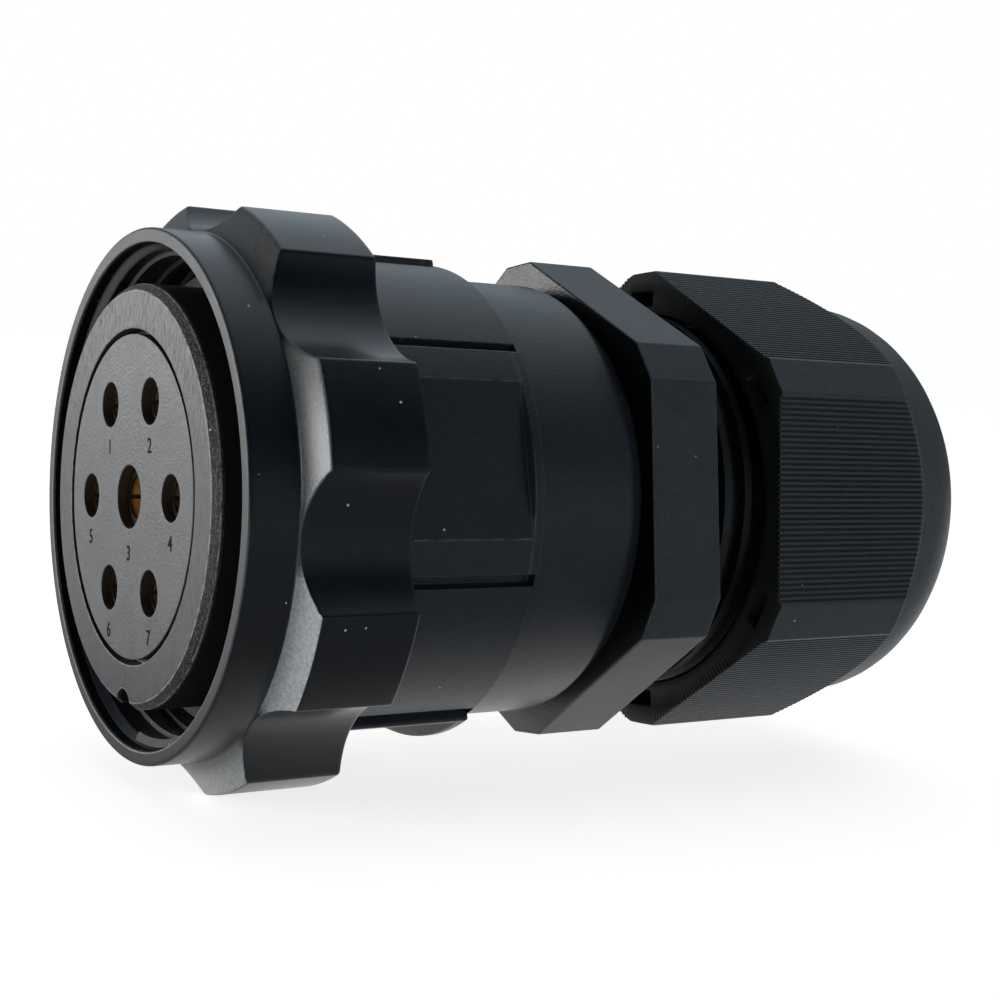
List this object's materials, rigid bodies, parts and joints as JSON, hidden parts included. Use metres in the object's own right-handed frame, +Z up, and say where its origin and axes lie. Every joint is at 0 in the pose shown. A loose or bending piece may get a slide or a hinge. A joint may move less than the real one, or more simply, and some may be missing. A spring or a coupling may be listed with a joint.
{
  "type": "inline socket connector",
  "caption": "Black round inline power socket for a heavy cable, with numbered contacts, a fluted coupling ring and a domed hexagon cable gland.",
  "frame": {"origin": "centre of the mating face, on the connector's axis", "axes": "+X along the axis towards the cable entry, +Z up as the connector lies on two lobes of its coupling ring"},
  "size_m": [0.1079, 0.066, 0.066],
  "materials": {
    "ring_black": "satin black",
    "shell_black": "satin black",
    "insulator": "fine matt",
    "contact_brass": "bright",
    "gland_plastic": "fine spark",
    "seal_rubber": "matt",
    "spring_steel": "plain"
  },
  "bodies": {
    "shell": {"body_shell": "shell_black", "rear_shell": "shell_black", "insert_sleeve": "shell_black", "sleeve_nut": "shell_black", "face_insert": "insulator", "rear_insert": "insulator", "insert_lock_ring": "insulator", "socket_contact_1": "contact_brass", "socket_contact_2": "contact_brass", "socket_contact_3": "contact_brass", "socket_contact_4": "contact_brass", "socket_contact_5": "contact_brass", "socket_contact_6": "contact_brass", "socket_contact_7": "contact_brass", "gland_body": "gland_plastic", "gland_seal": "seal_rubber", "gland_washer": "seal_rubber", "mating_gasket": "seal_rubber", "ring_snap_ring": "spring_steel", "terminal_screws": "spring_steel"},
    "ring": {"coupling_ring": "ring_black"},
    "nut": {"clamping_nut": "gland_plastic"}
  },
  "joints": [
    {"name": "ring_turn", "type": "hinge", "parent": "shell", "child": "ring", "pos_m": [0.017, 0, 0], "axis": [1, 0, 0], "continuous": true},
    {"name": "nut_turn", "type": "hinge", "parent": "shell", "child": "nut", "pos_m": [0.08, 0, 0], "axis": [1, 0, 0], "range_deg": [0, 510]}
  ]
}
